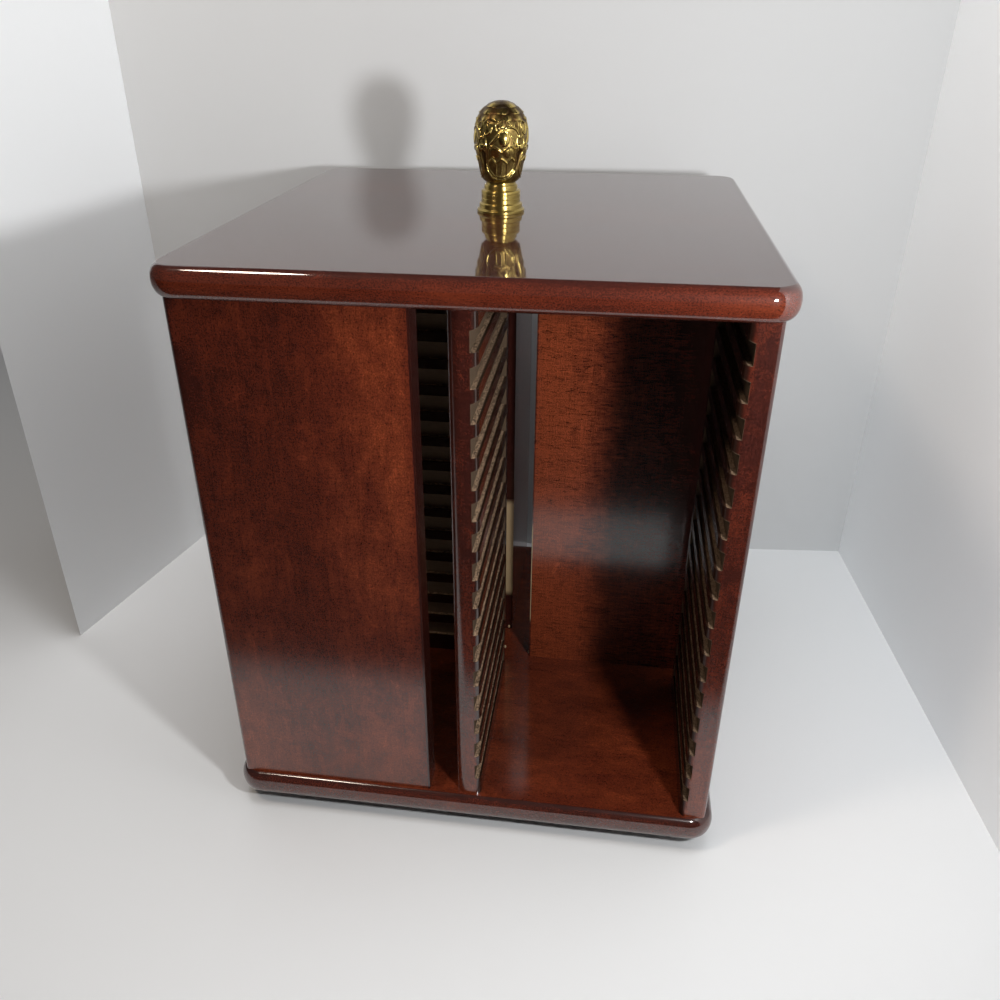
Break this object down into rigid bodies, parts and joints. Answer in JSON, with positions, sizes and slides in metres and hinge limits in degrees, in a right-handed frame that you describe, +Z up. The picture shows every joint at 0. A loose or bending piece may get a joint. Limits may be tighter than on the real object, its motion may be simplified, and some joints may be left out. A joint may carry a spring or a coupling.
{
  "type": "rotating media tower",
  "caption": "Square revolving tabletop rack of slotted wooden walls that hold disc cases flat in pinwheel bays, on a ball swivel, with a cast bud finial.",
  "frame": {"origin": "on the spin axis, at the level the pads stand on", "axes": "+Z up along the spin axis, -Y out of the front bay, +X to the right of someone facing that bay"},
  "size_m": [0.338, 0.338, 0.4614],
  "materials": {
    "antique_brass": "polished, darkened in its hollows",
    "base_black": "satin black",
    "bearing_steel": "polished",
    "board_mahogany": "gloss",
    "cage_nylon": "matte",
    "lacquered_mahogany": "gloss",
    "pad_rubber": "matte",
    "tenon_beech": "raw",
    "zinc_steel": "zinc plated"
  },
  "bodies": {
    "base": {"base_pads": "pad_rubber", "base_plate": "base_black", "bearing_lower_plate": "zinc_steel", "bearing_rivet": "zinc_steel"},
    "ball_ring": {"ball_cage": "cage_nylon", "bearing_balls": "bearing_steel"},
    "carousel": {"back_divider": "lacquered_mahogany", "back_panel": "lacquered_mahogany", "bearing_screws": "zinc_steel", "bearing_upper_plate": "zinc_steel", "bottom_board": "board_mahogany", "bottom_tenons": "tenon_beech", "finial": "antique_brass", "finial_stud": "zinc_steel", "front_divider": "lacquered_mahogany", "front_panel": "lacquered_mahogany", "left_divider": "lacquered_mahogany", "left_panel": "lacquered_mahogany", "right_divider": "lacquered_mahogany", "right_panel": "lacquered_mahogany", "top_board": "board_mahogany", "top_tenons": "tenon_beech"}
  },
  "joints": [
    {"name": "carousel_spin", "type": "hinge", "parent": "base", "child": "carousel", "pos_m": [0, 0, 0.00825], "axis": [0, 0, 1], "continuous": true},
    {"name": "ball_ring_spin", "type": "hinge", "parent": "base", "child": "ball_ring", "pos_m": [0, 0, 0.00825], "axis": [0, 0, 1], "continuous": true}
  ],
  "couplings": [
    {"joint": "ball_ring_spin", "follows": "carousel_spin", "ratio": 0.5}
  ]
}
